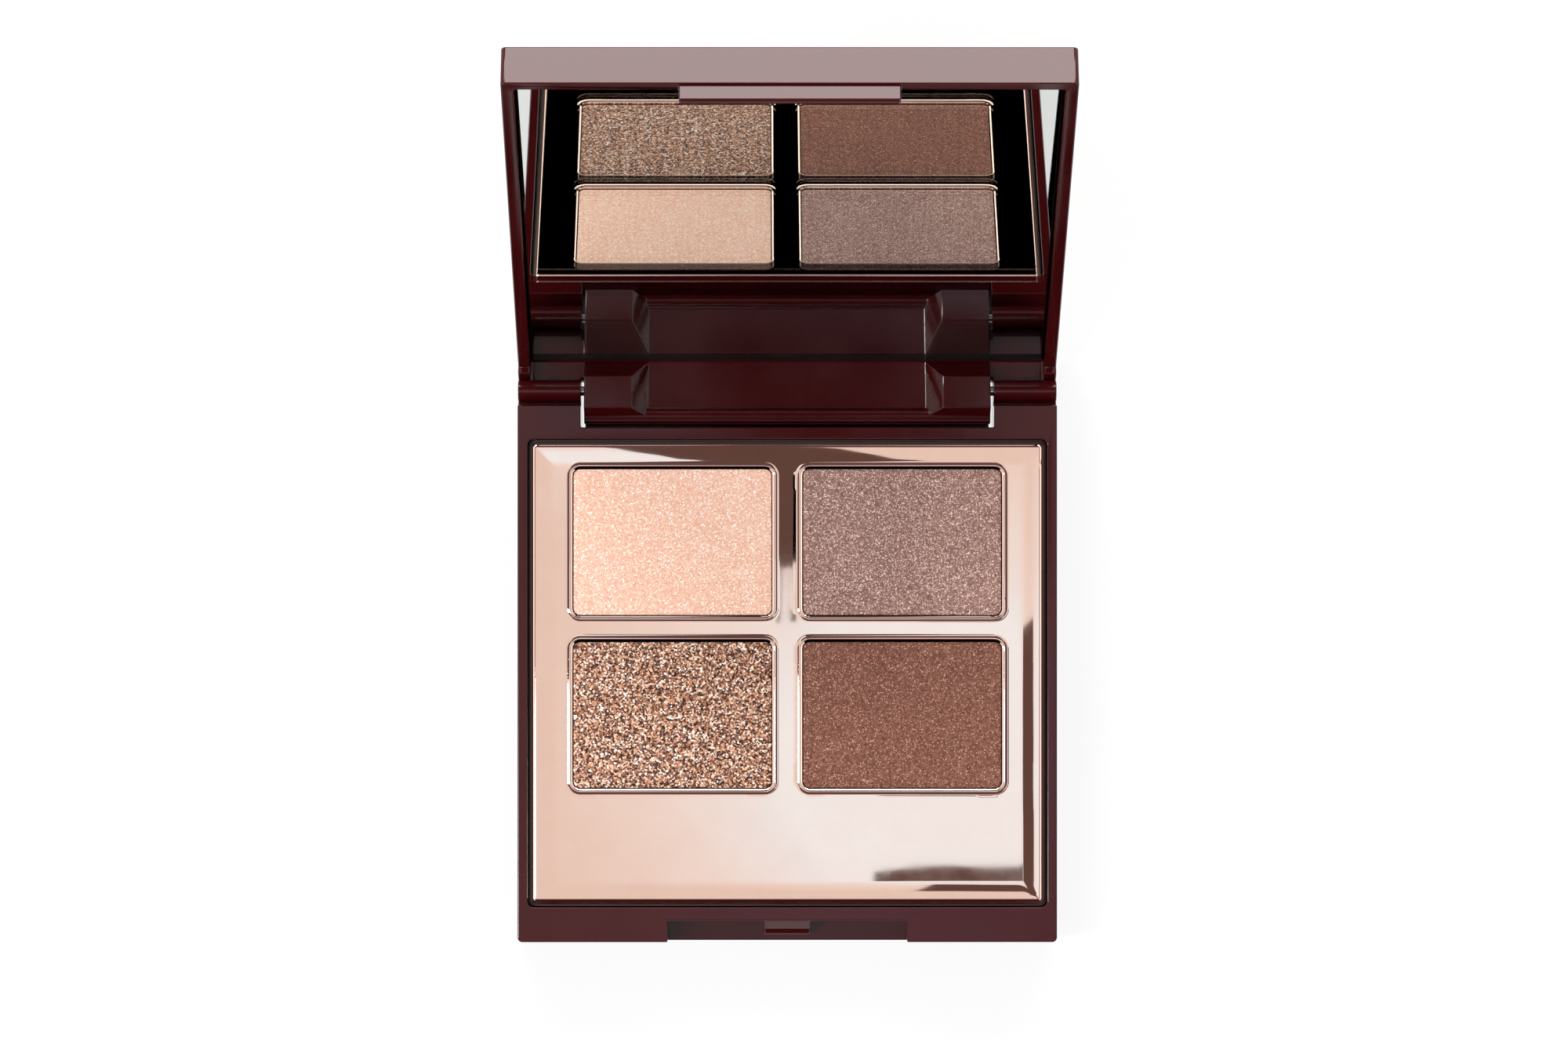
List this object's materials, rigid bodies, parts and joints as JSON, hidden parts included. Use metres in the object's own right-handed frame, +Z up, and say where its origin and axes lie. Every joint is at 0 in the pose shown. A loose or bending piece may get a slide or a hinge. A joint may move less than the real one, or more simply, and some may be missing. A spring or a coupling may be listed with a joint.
{
  "type": "eyeshadow palette",
  "caption": "Slim hinged makeup compact with pressed eyeshadow pans under a metallised face plate and a mirror in its lid, shown open on its hinge stop.",
  "frame": {"origin": "middle of the base's underside, on the surface it stands on", "axes": "+Z up from the table, +Y from the user towards the hinge, +X to the user's right"},
  "size_m": [0.068, 0.1089, 0.0673],
  "materials": {
    "case_plastic": "injection-moulded ABS, oxblood, high gloss",
    "tray_plastic": "moulded ABS, dark, satin",
    "rose_gold_plate": "moulded ABS, vacuum metallised rose gold, lacquered",
    "tinplate": "drawn tinplate, bright",
    "champagne_powder": "pressed shimmer powder",
    "mauve_powder": "pressed shimmer powder",
    "bronze_glitter_powder": "pressed coarse glitter powder",
    "brown_powder": "pressed satin powder",
    "glue": "hot-melt pad",
    "pin_steel": "drawn steel wire, cropped",
    "label_paper": "blank printed-film label, matt",
    "mirror_glass": "float glass, silvered on its back",
    "tape": "double-sided foam tape"
  },
  "bodies": {
    "base": {"base_shell": "case_plastic", "pan_tray": "tray_plastic", "face_plate": "rose_gold_plate", "pan_rear_left": "tinplate", "pan_rear_right": "tinplate", "pan_front_left": "tinplate", "pan_front_right": "tinplate", "powder_rear_left": "champagne_powder", "powder_rear_right": "mauve_powder", "powder_front_left": "bronze_glitter_powder", "powder_front_right": "brown_powder", "glue_pad_rear_left": "glue", "glue_pad_rear_right": "glue", "glue_pad_front_left": "glue", "glue_pad_front_right": "glue", "hinge_pin_left": "pin_steel", "hinge_pin_right": "pin_steel", "bottom_label": "label_paper"},
    "lid": {"lid_shell": "case_plastic", "mirror": "mirror_glass", "mirror_tape": "tape"}
  },
  "joints": [
    {"name": "lid_hinge", "type": "hinge", "parent": "base", "child": "lid", "pos_m": [0, 0.0335, 0.0065], "axis": [1, 0, 0], "range_deg": [0, 118]}
  ]
}
